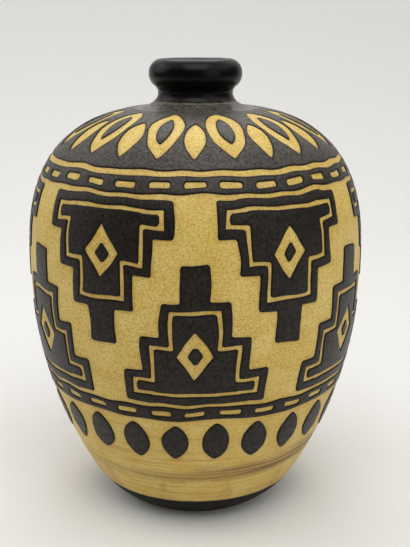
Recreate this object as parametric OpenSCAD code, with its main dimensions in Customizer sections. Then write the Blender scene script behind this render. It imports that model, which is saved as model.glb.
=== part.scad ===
// Stoneware vase: barrel body on a turned foot, narrow collar with a rolled lip,
// glaze coats inside and out, and bands of raised dark enamel

/* [Form] */
// Height from the resting ring to the top of the lip
height = 270; // [255:1:300]
// Radius of the glazed wall at its widest
belly_r = 100; // [90:0.5:112]
// Height of the widest place
belly_z = 149.5; // [135:0.5:165]
// Radius of the arc that the wall follows from the belly down to the foot
flank_arc = 258; // [220:1:330]
// Fullness of the shoulder curve, where 2 is an ellipse and more is squarer
shoulder_n = 2.8; // [2.2:0.1:3.4]

/* [Neck] */
// Outer radius of the rolled lip
lip_r = 27.5; // [25:0.5:31]
// Radius of the lip's roll
lip_roll = 8; // [6:0.5:10]
// Height of the lip's upright side
lip_side = 1; // [0.5:0.25:2]
// Radius of the waist under the lip
waist_r = 22.1; // [20.5:0.1:24]
// Radius of the hollow under the lip
cove_r = 5.25; // [4.5:0.25:7]
// How far the neck's root flares out from the waist
flare_r = 15; // [10:0.5:18]
// Height of that flare
flare_h = 8.7; // [7:0.1:10]
// Radius of the glazed mouth
bore_r = 15; // [11:0.5:17]
// Rounding of the lip into the mouth
mouth_round = 4; // [2:0.5:4.5]

/* [Foot] */
// Height of the foot, up to the edge of the yellow glaze
foot_h = 17; // [12:0.5:20]
// Height at which the wall starts to round in to the resting ring
heel_z = 24; // [20:0.5:32]
// Radius of the arc that rounds it in
heel_arc = 61.5; // [56:0.5:70]
// Radius of the recess inside the resting ring
recess_r = 34; // [24:0.5:38]
// Depth of that recess
recess_d = 2.5; // [1:0.25:4]
// Thickness of the floor over the recess
floor_t = 6.5; // [4:0.5:9]
// Height of the foot's rim that stands inside the wall
tongue_h = 3; // [1.5:0.25:5]

/* [Walls and coats] */
// Thickness of the stoneware wall
wall_t = 5.5; // [4:0.25:7]
// Thickness of the glaze coats
glaze_t = 0.5; // [0.3:0.05:0.8]
// Height of the enamel over the glaze
enamel_t = 0.8; // [0.4:0.1:1.5]

/* [Bands of enamel] */
// Times that the design repeats round the wall
repeats = 6; // [4:1:7]
// Width of the bare line left between the bands
line_w = 2.6; // [1.5:0.1:4]
// Width of the bare ring round the root of the neck
root_line = 0.5; // [0.5:0.25:4]
// Drop from the top of the lip to the lower edge of the shoulder field
field_drop = 54; // [46:1:60]
// Height of the belts
belt_h = 8.5; // [6:0.5:12]
// Dash windows in each repeat of a belt
dashes_per_repeat = 5; // [3:1:6]
// Length of a dash window
dash_len = 11; // [6:0.5:12]
// Height of a dash window
dash_h = 2.8; // [2:0.1:4]
// Height of the lower edge of the stepped zone
steps_z = 92; // [82:1:105]

/* [Leaf windows] */
// Leaf windows in each repeat of the shoulder field
windows_per_repeat = 2; // [1:1:2]
// Enamel left at both ends of a leaf window
window_rim = 4.5; // [4:0.5:8]
// Width of a leaf window
window_w = 19; // [14:0.5:20]
// Bare width round the rib inside a leaf window
vein_w = 5.2; // [3.5:0.1:6]
// Length of the bud windows between the leaves
bud_len = 24; // [16:0.5:26]
// Width of a bud window
bud_w = 11; // [7:0.5:12]

/* [Stepped forms] */
// Steps in each pendant and riser
steps = 4; // [4:1:7]
// Upright width of the bare path between pendants and risers
path_h = 13; // [8:0.5:16]
// Level width of that path, measured at the belly
path_w = 14.5; // [8:0.1:16]
// Width of the narrowest step, measured at the belly
tip_w = 16; // [8:0.5:18]
// Enamel left outside the bare line in a form
border_w = 5; // [4:0.25:6]
// Width of that line
inlay_w = 2; // [1.5:0.1:2.5]
// Height of the lozenge windows
lozenge_h = 28; // [20:0.5:30]
// Width of the lozenge windows
lozenge_w = 20; // [16:0.5:22]
// Bare width round the core of a lozenge window
core_gap = 4.6; // [3:0.1:5]
// Steps from a form's wide edge to the middle of its lozenge window
lozenge_step = 1.45; // [1.35:0.05:1.6]

/* [Leaf drops] */
// Leaf drops in each repeat below the lower belt
drops_per_repeat = 4; // [3:1:5]
// Length of a leaf drop
drop_len = 25; // [16:0.5:30]
// Width of a leaf drop
drop_w = 15; // [9:0.5:16]

/* [Hidden] */
$fn = 144;

clay_color = "#b9a07c";
foot_color = "#211d19";
liner_color = "#8d7a58";
yellow_color = "#bd9f55";
black_color = "#141413";
enamel_color = "#35302a";

// Segments along each stretch of the outline
heel_n = 6;
flank_n = 14;
crown_n = 18;
neck_n = 10;

// Length that reaches past every surface of the vase
reach = height + belly_r;
// Radius, well inside the wall, at which cuts through the wall start
cut_r = belly_r / 2;

// Collar: lip roll over a cove, the two circles touching, and a flare below the waist
lip_c = [lip_r - lip_roll, height - lip_roll];
under_c = lip_c - [0, lip_side];
cove_x = waist_r + cove_r;
cove_c = [cove_x, under_c.y - sqrt((lip_roll + cove_r) ^ 2 - (cove_x - under_c.x) ^ 2)];
touch_a = atan2(under_c.y - cove_c.y, under_c.x - cove_c.x);
root_r = waist_r + flare_r;
root_z = cove_c.y - flare_h;
mouth_c = [bore_r + mouth_round, height - mouth_round];

// Shoulder curve: passes through the root of the neck
crown_h = (root_z - belly_z) / (1 - (root_r / belly_r) ^ shoulder_n) ^ (1 / shoulder_n);

// Flank and heel: arcs that run into each other above the foot's upper edge
flank_c = [belly_r - flank_arc, belly_z];
heel_a = asin((belly_z - heel_z) / flank_arc);
heel_c = flank_c + (flank_arc - heel_arc) * [cos(heel_a), -sin(heel_a)];
foot_r = heel_c.x + sqrt(heel_arc ^ 2 - (heel_c.y - foot_h) ^ 2);

// Inside of the clay
inside = glaze_t + wall_t;
floor_z = recess_d + floor_t;
liner_top = mouth_c.y;
tongue_r = foot_r - glaze_t - wall_t / 2;

// Shoulder field
field_z = height - field_drop;
field_in = root_r + root_line;
field_out = shoulder_r(field_z);
window_len = field_out - field_in - 2 * window_rim;
window_mid = (field_out + field_in) / 2;
bud_mid = field_out - window_rim - bud_len / 2;
windows = repeats * windows_per_repeat;

// Heights of the bands below it
upper_belt_z = field_z - line_w - belt_h;
pendant_z = upper_belt_z - line_w;
step_h = (pendant_z - steps_z - path_h) / (steps + 1);
lower_belt_z = steps_z - line_w - belt_h;
drop_z = lower_belt_z - line_w - drop_len / 2;
drops = repeats * drops_per_repeat;
dashes = repeats * dashes_per_repeat;

// Stepped forms, in degrees round the axis
pitch_a = 360 / repeats;
path_a = path_w / belly_r * 180 / PI;
tip_a = tip_w / 2 / belly_r * 180 / PI;
step_a = (pitch_a / 2 - path_a - 2 * tip_a) / (steps - 2);
lozenge_drop = lozenge_step * step_h;

// Radius of the shoulder's glazed surface at a height
function shoulder_r(z) = belly_r * (1 - ((z - belly_z) / crown_h) ^ shoulder_n) ^ (1 / shoulder_n);

// Points of an arc, from its start angle to its end angle
function arc(c, r, a0, a1, n, first = 0) =
    [for (i = [first:n]) let (a = a0 + (a1 - a0) * i / n) c + r * [cos(a), sin(a)]];

// Points of the neck's flare from its root up to the waist, moved out by o
function flare(o) =
    [for (i = [0:neck_n]) let (a = 270 - 90 * i / neck_n)
        [root_r + (flare_r - o) * cos(a), cove_c.y + (flare_h - o) * sin(a)]];

// Points of the shoulder curve from the belly to the axis, moved out by o
function crown(o) =
    [for (i = [1:crown_n]) let (a = 90 * i / crown_n)
        [(belly_r + o) * cos(a) ^ (2 / shoulder_n), belly_z + (crown_h + o) * sin(a) ^ (2 / shoulder_n)]];

// Points of the wall from a height near the floor to the axis, moved out by o
function wall_points(o, low) = concat(
    arc(heel_c, heel_arc + o, -asin((heel_c.y - low) / (heel_arc + o)), -heel_a, heel_n),
    arc(flank_c, flank_arc + o, -heel_a, 0, flank_n, first = 1),
    crown(o)
);

// Outside of the vase below the collar, moved out by o, down to the height low
module vessel_2d(o, low = 0) {
    polygon(concat([[0, low]], wall_points(o, low)));
}

// Hollow of the vase, drawn in by i from the clay
module cavity_2d(i) {
    vessel_2d(-inside - i, low = floor_z + i);
    translate([0, belly_z])
        square([bore_r + glaze_t - i, liner_top - belly_z + i]);
}

// Collar from inside the shoulder to the lip, moved out by o
module collar_2d(o) {
    polygon(concat(
        [[bore_r - o, belly_z], [root_r, belly_z]],
        flare(o),
        arc(cove_c, cove_r - o, 180, touch_a, neck_n, first = 1),
        arc(under_c, lip_roll + o, touch_a - 180, 0, neck_n, first = 1),
        arc(lip_c, lip_roll + o, 0, 90, neck_n),
        arc(mouth_c, mouth_round + o, 90, 180, neck_n)
    ));
}

// Part of the shoulder that belongs to the collar, inside a seam that slants
// in at 45 degrees and runs well below the wall
module seam_2d() {
    top = root_z - glaze_t;
    depth = 2 * wall_t;
    polygon([[0, top - depth], [root_r - depth, top - depth], [root_r, top], [root_r, height], [0, height]]);
}

// Part of the vase that belongs to the foot, with its rim inside the wall
module foot_zone_2d() {
    square([reach, foot_h]);
    square([tongue_r, foot_h + tongue_h]);
}

// Enamel on the wall between two heights
module enamel_2d(low, high) {
    intersection() {
        difference() {
            vessel_2d(enamel_t);
            vessel_2d(0);
        }
        translate([0, low])
            square([reach, high - low]);
    }
}

// Pointed leaf along X, drawn in by inset
module leaf_2d(len, w, inset = 0) {
    r = (len ^ 2 + w ^ 2) / (4 * w);
    intersection() {
        translate([0, r - w / 2])
            circle(r - inset);
        translate([0, w / 2 - r])
            circle(r - inset);
    }
}

// Upright lozenge, drawn in by inset
module lozenge_2d(inset = 0) {
    k = 1 - inset * sqrt(lozenge_h ^ 2 + lozenge_w ^ 2) / (lozenge_h * lozenge_w / 2);
    h = k * lozenge_h / 2;
    w = k * lozenge_w / 2;
    polygon([[0, h], [w, 0], [0, -h], [-w, 0]]);
}

// Copies round the axis
module around(n, turn = 0) {
    for (i = [0:n - 1])
        rotate([0, 0, turn + 360 * i / n])
            children();
}

// Flat outline pushed out through the wall along +X, its own Y upright
module outward(z) {
    translate([cut_r, 0, z])
        rotate([90, 0, 90])
            linear_extrude(reach)
                children();
}

// Enamel between two heights and within half_a degrees of the +X side
module sector(half_a, low, high) {
    rotate_extrude(angle = 2 * half_a, start = -half_a)
        enamel_2d(low, high);
}

// Outline of a stepped form without its narrowest step, drawn in by inset and cut through the wall
module inner_steps(wide, up, inset) {
    inset_a = inset / belly_r * 180 / PI;
    near = wide + up * inset;
    for (k = [0:steps - 2]) {
        half_a = tip_a + (steps - 1 - k) * step_a - inset_a;
        depth = (k + 1) * step_h - 2 * inset;
        if (depth > 0)
            rotate_extrude(angle = 2 * half_a, start = -half_a)
                translate([cut_r, min(near, near + up * depth)])
                    square([reach, depth]);
    }
}

// One stepped form between two heights, widest at the height wide
module stepped(wide, up) {
    difference() {
        for (k = [0:steps - 1]) {
            near = wide + up * k * step_h;
            far = near + up * step_h;
            sector(tip_a + (steps - 1 - k) * step_a, min(near, far), max(near, far));
        }
        outward(wide + up * lozenge_drop)
            lozenge_2d();
        difference() {
            inner_steps(wide, up, border_w);
            inner_steps(wide, up, border_w + inlay_w);
        }
    }
    intersection() {
        rotate_extrude()
            enamel_2d(steps_z, pendant_z);
        outward(wide + up * lozenge_drop)
            lozenge_2d(core_gap);
    }
}

// Full ring of enamel with dash windows along its middle
module belt(low) {
    difference() {
        rotate_extrude()
            enamel_2d(low, low + belt_h);
        around(dashes, turn = 180 / dashes)
            outward(low + belt_h / 2)
                square([dash_len, dash_h], center = true);
    }
}

// Leaf windows in the shoulder field, each a bare line round a rib of enamel
module leaf_windows() {
    around(windows, turn = 180 / windows)
        translate([window_mid, 0, belly_z])
            linear_extrude(reach)
                difference() {
                    leaf_2d(window_len, window_w);
                    leaf_2d(window_len, window_w, vein_w);
                }
}

// Bud windows between the leaf windows, at the field's outer edge
module bud_windows() {
    around(windows)
        translate([bud_mid, 0, belly_z])
            linear_extrude(reach)
                leaf_2d(bud_len, bud_w);
}

module foot() {
    color(foot_color)
        rotate_extrude()
            difference() {
                intersection() {
                    vessel_2d(0);
                    foot_zone_2d();
                }
                cavity_2d(0);
                square([recess_r, recess_d]);
            }
}

module body_wall() {
    color(clay_color)
        rotate_extrude()
            difference() {
                vessel_2d(-glaze_t);
                cavity_2d(0);
                seam_2d();
                foot_zone_2d();
            }
}

module neck_collar() {
    color(clay_color)
        rotate_extrude()
            difference() {
                intersection() {
                    seam_2d();
                    union() {
                        collar_2d(-glaze_t);
                        vessel_2d(-glaze_t);
                    }
                }
                cavity_2d(0);
            }
}

module inner_glaze() {
    color(liner_color)
        rotate_extrude()
            difference() {
                cavity_2d(0);
                cavity_2d(glaze_t);
            }
}

module ground_glaze() {
    color(yellow_color)
        rotate_extrude()
            difference() {
                vessel_2d(0);
                vessel_2d(-glaze_t);
                square([reach, foot_h]);
                square([root_r, height]);
            }
}

module collar_glaze() {
    color(black_color)
        rotate_extrude()
            difference() {
                collar_2d(0);
                collar_2d(-glaze_t);
                vessel_2d(-glaze_t);
                square([bore_r + glaze_t, liner_top]);
            }
}

module shoulder_field() {
    // The ring's own start lies in the enamel between a leaf and a bud
    color(enamel_color)
        difference() {
            rotate([0, 0, 90 / windows])
                rotate_extrude()
                    difference() {
                        enamel_2d(field_z, height);
                        square([field_in, height]);
                    }
            leaf_windows();
            bud_windows();
        }
}

module upper_belt() {
    color(enamel_color)
        belt(upper_belt_z);
}

module step_pendants() {
    color(enamel_color)
        around(repeats)
            stepped(pendant_z, -1);
}

module step_risers() {
    color(enamel_color)
        around(repeats, turn = pitch_a / 2)
            stepped(steps_z, 1);
}

module lower_belt() {
    color(enamel_color)
        belt(lower_belt_z);
}

module leaf_drops() {
    color(enamel_color)
        around(drops, turn = 180 / drops)
            intersection() {
                sector(180 / drops, drop_z - drop_len, drop_z + drop_len);
                outward(drop_z)
                    rotate(90)
                        leaf_2d(drop_len, drop_w);
            }
}

foot();
body_wall();
neck_collar();
inner_glaze();
ground_glaze();
collar_glaze();
shoulder_field();
upper_belt();
step_pendants();
step_risers();
lower_belt();
leaf_drops();
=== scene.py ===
"""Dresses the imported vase: yellow ground coat, raised dark enamel, black collar, liner and foot.

Lengths are in metres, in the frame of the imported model. Z runs up the vase's axis, and the
camera of the photograph looks along +Y.
"""

from __future__ import annotations

import logging
import math
from abc import ABC, abstractmethod
from dataclasses import dataclass
from enum import Enum
from typing import Any, ClassVar, Optional, Union

import bmesh
import bpy
import numpy as np
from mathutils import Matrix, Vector


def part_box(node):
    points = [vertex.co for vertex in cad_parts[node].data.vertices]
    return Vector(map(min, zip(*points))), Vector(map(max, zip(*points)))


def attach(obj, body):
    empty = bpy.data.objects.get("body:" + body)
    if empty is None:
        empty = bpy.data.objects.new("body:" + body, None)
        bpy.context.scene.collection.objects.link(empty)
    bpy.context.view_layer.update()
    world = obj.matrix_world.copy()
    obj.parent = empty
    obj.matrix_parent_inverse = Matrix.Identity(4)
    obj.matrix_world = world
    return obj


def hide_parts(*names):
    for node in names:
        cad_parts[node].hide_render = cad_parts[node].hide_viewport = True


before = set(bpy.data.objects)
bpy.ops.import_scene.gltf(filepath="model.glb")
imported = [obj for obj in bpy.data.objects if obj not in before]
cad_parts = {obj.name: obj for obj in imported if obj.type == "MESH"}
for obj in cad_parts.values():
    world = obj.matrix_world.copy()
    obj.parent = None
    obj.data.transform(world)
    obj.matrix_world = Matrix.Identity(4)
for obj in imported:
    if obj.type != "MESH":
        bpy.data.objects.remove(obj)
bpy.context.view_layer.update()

LOG = logging.getLogger("vase")
MM = 0.001
TAU = 2.0 * math.pi
MERGE = 0.002 * MM

Array = np.ndarray
Pair = tuple[float, float]
Triple = tuple[float, float, float]
Colour = Triple
Value = Union["Socket", float, Colour]
Points = list[Pair]


def srgb(red: float, green: float, blue: float) -> Colour:
    """Linear colour of a screen colour.

    Args:
        red: Red from 0 to 255.
        green: Green from 0 to 255.
        blue: Blue from 0 to 255.

    Returns:
        The linear red, green and blue.
    """
    def linear(level: float) -> float:
        """Linear value of one channel."""
        level /= 255.0
        return level / 12.92 if level <= 0.04045 else ((level + 0.055) / 1.055) ** 2.4

    return linear(red), linear(green), linear(blue)


# Shader nodes


class Socket:
    """Output of a shader node, whose arithmetic adds Math nodes."""

    def __init__(self, nodes: NodeTree, output: bpy.types.NodeSocket) -> None:
        """Keeps the tree and the output."""
        self.nodes = nodes
        self.output = output

    def _math(self, operation: str, first: Value, second: Value) -> Socket:
        """Adds one Math node."""
        return self.nodes.node("ShaderNodeMath", {"operation": operation}, {0: first, 1: second})

    def __add__(self, other: Value) -> Socket:
        """Sum."""
        return self._math("ADD", self, other)

    def __radd__(self, other: Value) -> Socket:
        """Sum with a number first."""
        return self._math("ADD", other, self)

    def __sub__(self, other: Value) -> Socket:
        """Difference."""
        return self._math("SUBTRACT", self, other)

    def __rsub__(self, other: Value) -> Socket:
        """Difference with a number first."""
        return self._math("SUBTRACT", other, self)

    def __mul__(self, other: Value) -> Socket:
        """Product."""
        return self._math("MULTIPLY", self, other)

    def __rmul__(self, other: Value) -> Socket:
        """Product with a number first."""
        return self._math("MULTIPLY", other, self)

    def __pow__(self, other: Value) -> Socket:
        """Power."""
        return self._math("POWER", self, other)


class NodeTree:
    """Shader nodes of a material or the world, written as expressions."""

    def __init__(self, owner: Union[bpy.types.Material, bpy.types.World]) -> None:
        """Starts with no node.

        Args:
            owner: What the nodes belong to.
        """
        owner.use_nodes = True
        self.tree = owner.node_tree
        self.tree.nodes.clear()

    def feed(self, socket: bpy.types.NodeSocket, value: Value) -> None:
        """Links a socket, or sets its value.

        Args:
            socket: Input to fill.
            value: Socket, number or triple.
        """
        if isinstance(value, Socket):
            self.tree.links.new(value.output, socket)
        elif socket.type == "RGBA":
            socket.default_value = (*value, 1.0)
        else:
            socket.default_value = value

    def node(self, kind: str, settings: Optional[dict[str, Any]] = None,
             sockets: Optional[dict[Any, Value]] = None, output: Any = 0) -> Optional[Socket]:
        """Adds any node.

        Args:
            kind: Type name of the node.
            settings: Properties of the node, set first.
            sockets: Values or links of its inputs, by name or index.
            output: Name or index of the output to return, or None for an end node.

        Returns:
            The chosen output.
        """
        node = self.tree.nodes.new(kind)
        for key, value in (settings or {}).items():
            setattr(node, key, value)
        for key, value in (sockets or {}).items():
            self.feed(node.inputs[key], value)
        return Socket(self, node.outputs[output]) if output is not None else None

    def mix(self, factor: Value, first: Value, second: Value) -> Socket:
        """Mixes two colours.

        Args:
            factor: Share of the second colour.
            first: First colour.
            second: Second colour.

        Returns:
            The mixed colour.
        """
        settings = {"data_type": "RGBA", "clamp_factor": True}
        return self.node("ShaderNodeMix", settings, {0: factor, 6: first, 7: second}, 2)

    def ramp(self, value: Value, low: float, high: float) -> Socket:
        """Smooth step from 0 at one value to 1 at another.

        Args:
            value: Value to grade.
            low: Value that gives 0.
            high: Value that gives 1.

        Returns:
            The graded value.
        """
        sockets = {"Value": value, "From Min": low, "From Max": high, "To Min": 0.0, "To Max": 1.0}
        return self.node("ShaderNodeMapRange", {"interpolation_type": "SMOOTHSTEP"}, sockets)


class Shader(NodeTree):
    """Surface of one material, patterned by its place on the object."""

    def __init__(self, name: str) -> None:
        """Starts a material with one Principled surface.

        Args:
            name: Name of the material.
        """
        self.material = bpy.data.materials.new(name)
        super().__init__(self.material)
        self.surface = self.tree.nodes.new("ShaderNodeBsdfPrincipled")
        end = self.tree.nodes.new("ShaderNodeOutputMaterial")
        self.tree.links.new(self.surface.outputs[0], end.inputs["Surface"])
        self.place = self.node("ShaderNodeTexCoord", output="Object")

    def scaled(self, size: float, stretch: Triple = (1.0, 1.0, 1.0)) -> Socket:
        """Object coordinates in units of a size.

        Args:
            size: Length of one unit.
            stretch: How much longer the unit is along each axis.

        Returns:
            The scaled place.
        """
        unit = tuple(1.0 / (size * part) for part in stretch)
        return self.node("ShaderNodeVectorMath", {"operation": "MULTIPLY"}, {0: self.place, 1: unit})

    def noise(self, size: float, detail: float = 2.0, roughness: float = 0.5,
              stretch: Triple = (1.0, 1.0, 1.0)) -> Socket:
        """Cloudy noise.

        Args:
            size: Length of one cloud.
            detail: Octaves of finer clouds.
            roughness: Weight of the finer clouds.
            stretch: How much longer a cloud is along each axis.

        Returns:
            Noise from 0 to 1, mostly near its middle.
        """
        sockets = {"Vector": self.scaled(size, stretch), "Scale": 1.0, "Detail": detail,
                   "Roughness": roughness}
        return self.node("ShaderNodeTexNoise", {"noise_dimensions": "3D"}, sockets)

    def specks(self, size: float, radius: float, share: float) -> Socket:
        """Small round specks strewn at random.

        Args:
            size: Distance between places for a speck.
            radius: Radius of a speck, as a share of that distance.
            share: Share of the places that hold one.

        Returns:
            Mask that is 1 in a speck.
        """
        cells = {"Vector": self.scaled(size), "Scale": 1.0, "Randomness": 1.0}
        near = self.node("ShaderNodeTexVoronoi", {}, cells, "Distance")
        draw = self.node("ShaderNodeTexVoronoi", {}, cells, "Color")
        red = self.node("ShaderNodeSeparateColor", {}, {0: draw}, 0)
        return self.ramp(near, radius, radius * 0.5) * self.ramp(red, 1.0 - share, 1.02 - share)

    def axis(self, name: str) -> Socket:
        """One object coordinate, X, Y or Z."""
        return self.node("ShaderNodeSeparateXYZ", {}, {0: self.place}, name)

    def attribute(self, name: str) -> Socket:
        """A number stored on the mesh."""
        return self.node("ShaderNodeAttribute", {"attribute_name": name}, {}, "Fac")

    def bump(self, height: Value, depth: float, strength: float = 1.0) -> None:
        """Roughens the surface.

        Args:
            height: Height from 0 to 1.
            depth: Real depth of that range.
            strength: Weight of the effect.
        """
        sockets = {"Height": height, "Distance": depth, "Strength": strength}
        self.finish({"Normal": self.node("ShaderNodeBump", {}, sockets)})

    def finish(self, sockets: dict[str, Value]) -> bpy.types.Material:
        """Fills inputs of the surface.

        Args:
            sockets: Values or links by input name.

        Returns:
            The material.
        """
        for key, value in sockets.items():
            self.feed(self.surface.inputs[key], value)
        return self.material


# Finishes


@dataclass(frozen=True)
class YellowGlaze:
    """Speckled yellow glaze, amber beside the enamel, partly staining and partly painted shade at the
    foot of the raised enamel, and brown where it ran near the foot.
    """

    pale: Colour = srgb(216, 189, 106)
    full: Colour = srgb(206, 174, 80)
    light: Colour = srgb(229, 205, 129)
    deep: Colour = srgb(178, 130, 48)
    # Amber beside the enamel: partly staining, partly painted shade at its raised edge.
    olive: Colour = srgb(158, 134, 58)
    amber: Colour = srgb(168, 122, 50)
    brown: Colour = srgb(116, 80, 42)
    speck: Colour = srgb(70, 50, 26)
    wash: Colour = srgb(24, 20, 16)
    cloud_size: float = 16 * MM
    grain_size: float = 1.1 * MM
    spot_size: float = 1.9 * MM
    patch_size: float = 7 * MM
    streak_size: float = 1.4 * MM
    streak_stretch: Triple = (40.0, 40.0, 1.0)
    streak_z: Pair = (130 * MM, 30 * MM)
    speck_gap: float = 5.5 * MM
    stain_z: float = 40 * MM
    stain_tilt: float = 0.035
    stain_wave: float = 10 * MM
    stain_low: Pair = (-6 * MM, -2 * MM)
    stain_high: Pair = (5 * MM, 0.0)
    stain_side: Pair = (-70 * MM, 70 * MM)
    stain_spread: float = 4 * MM
    line_size: float = 1.1 * MM
    line_stretch: Triple = (60.0, 60.0, 1.0)
    wash_z: float = 17.6 * MM
    wash_fade: float = 0.5 * MM
    wash_wave: float = 2.2 * MM
    depth: float = 0.12 * MM

    def material(self) -> bpy.types.Material:
        """Builds the finish.

        Returns:
            The material.
        """
        glaze = Shader("yellow_glaze")
        grain = glaze.noise(self.grain_size, 3.0, 0.7)
        streak = glaze.noise(self.streak_size, 3.0, 0.6, self.streak_stretch)
        colour = self._speckled(glaze, grain, streak)
        colour = self._stained(glaze, colour)
        colour = glaze.mix(glaze.specks(self.speck_gap, 0.075, 0.3) * 0.6, colour, self.speck)
        rim = glaze.axis("Z") + (glaze.noise(6 * MM, 3.0, 0.6) - 0.5) * self.wash_wave
        washed = glaze.ramp(rim, self.wash_z + self.wash_fade, self.wash_z)
        colour = glaze.mix(washed, colour, self.wash)
        glaze.bump(0.6 * grain + 0.5 * streak, self.depth, 0.5)
        return glaze.finish({"Base Color": colour, "Roughness": 0.42 + 0.16 * grain,
                             "Specular IOR Level": 0.38})

    def _speckled(self, glaze: Shader, grain: Socket, streak: Socket) -> Socket:
        """Grain of the glaze, streaks near the foot, and amber beside the enamel, partly staining and
        partly painted shade.

        Args:
            glaze: Shader that is built.
            grain: Noise of the grain.
            streak: Noise of the streaks.

        Returns:
            The colour.
        """
        low = glaze.ramp(glaze.axis("Z"), *self.streak_z)
        fine = 1.0 - 0.5 * low
        cloud = glaze.noise(self.cloud_size, 3.0, 0.55)
        colour = glaze.mix(glaze.ramp(cloud, 0.32, 0.68), self.full, self.pale)
        spots = glaze.ramp(glaze.noise(self.spot_size, 2.0), 0.42, 0.58)
        spot = glaze.mix(spots, self.deep, self.olive)
        colour = glaze.mix(glaze.ramp(grain, 0.48, 0.66) * 0.7 * fine, colour, spot)
        colour = glaze.mix(glaze.ramp(grain, 0.52, 0.34) * 0.6 * fine, colour, self.light)
        colour = glaze.mix(glaze.ramp(streak, 0.48, 0.7) * (0.15 + 0.5 * low), colour, self.deep)
        # Beside the raised enamel the glaze turns amber: partly staining, partly painted shade at its
        # foot.
        beside = 1.0 - glaze.attribute("bare")
        patchy = glaze.ramp(glaze.noise(self.patch_size, 2.0), 0.25, 0.7)
        return glaze.mix(beside ** 7.0 * (0.1 + 0.4 * patchy), colour, self.amber)

    def _stained(self, glaze: Shader, colour: Socket) -> Socket:
        """Brown band above the foot, which rises and widens to one side.

        Args:
            glaze: Shader that is built.
            colour: Colour below the stain.

        Returns:
            The colour with the stain.
        """
        across = glaze.axis("X")
        wave = (glaze.noise(9 * MM, 3.0, 0.6, (3.0, 3.0, 1.0)) - 0.5) * self.stain_wave
        above = glaze.axis("Z") - self.stain_tilt * across + wave - self.stain_z
        side = glaze.ramp(across, *self.stain_side)
        band = glaze.ramp(above, *self.stain_low)
        band = band * glaze.ramp(above - side * self.stain_spread, *self.stain_high)
        lines = glaze.ramp(glaze.noise(self.line_size, 2.0, 0.5, self.line_stretch), 0.4, 0.62)
        return glaze.mix(band * (0.24 + 0.56 * side) * (0.55 + 0.7 * lines), colour, self.brown)


@dataclass(frozen=True)
class DarkEnamel:
    """Blackish brown enamel, finely mottled, with a darker outline, and a painted sheen that greys it
    towards the neck.
    """

    dark: Colour = srgb(5, 4, 2)
    light: Colour = srgb(38, 28, 16)
    grey: Colour = srgb(34, 28, 20)
    outline: Colour = srgb(12, 8, 4)
    # Painted sheen: grey that lightens the enamel between these heights, most near the neck.
    thin_and_sheen: Colour = srgb(92, 87, 79)
    sheen_z: Pair = (192 * MM, 232 * MM)
    root_z: float = 241 * MM
    root_fade: float = 0.5 * MM
    mottle_size: float = 2.2 * MM
    patch_size: float = 15 * MM
    grain_size: float = 1.2 * MM
    speck_gap: float = 2.6 * MM
    depth: float = 0.34 * MM

    def material(self) -> bpy.types.Material:
        """Builds the finish.

        Returns:
            The material.
        """
        enamel = Shader("dark_enamel")
        mottle = enamel.noise(self.mottle_size, 5.0, 0.68)
        patch = enamel.noise(self.patch_size, 3.0, 0.55)
        grain = enamel.noise(self.grain_size, 3.0, 0.75)
        colour = enamel.mix(enamel.ramp(0.3 * mottle + 0.7 * grain, 0.4, 0.66), self.dark, self.light)
        colour = enamel.mix(enamel.ramp(patch, 0.45, 0.72) * 0.45, colour, self.grey)
        fleck = enamel.ramp(0.4 * mottle + 0.6 * grain, 0.38, 0.64)
        height = enamel.axis("Z")
        # Painted sheen: the enamel greys in flecks towards the neck, where the top light would shine on
        # the shoulder.
        thin_and_sheen = enamel.ramp(height, *self.sheen_z) * (0.2 + 0.6 * fleck)
        colour = enamel.mix(thin_and_sheen, colour, self.thin_and_sheen)
        specks = enamel.specks(self.speck_gap, 0.12, 0.35)
        colour = enamel.mix(specks * 0.45, colour, self.outline)
        edge = 1.0 - enamel.ramp(enamel.attribute("rim"), 0.12, 0.55)
        edge = edge * enamel.ramp(height, self.root_z, self.root_z - self.root_fade)
        colour = enamel.mix(edge * 0.85, colour, self.outline)
        enamel.bump(0.3 * mottle + 0.7 * grain, self.depth, 0.9)
        gloss = (0.2 + 0.6 * fleck) * (1.0 - 0.7 * edge)
        return enamel.finish({"Base Color": colour, "Roughness": 0.38 + 0.2 * mottle,
                              "Specular IOR Level": 0.15, "Coat Weight": gloss,
                              "Coat Roughness": 0.44, "Coat IOR": 1.35})


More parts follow.
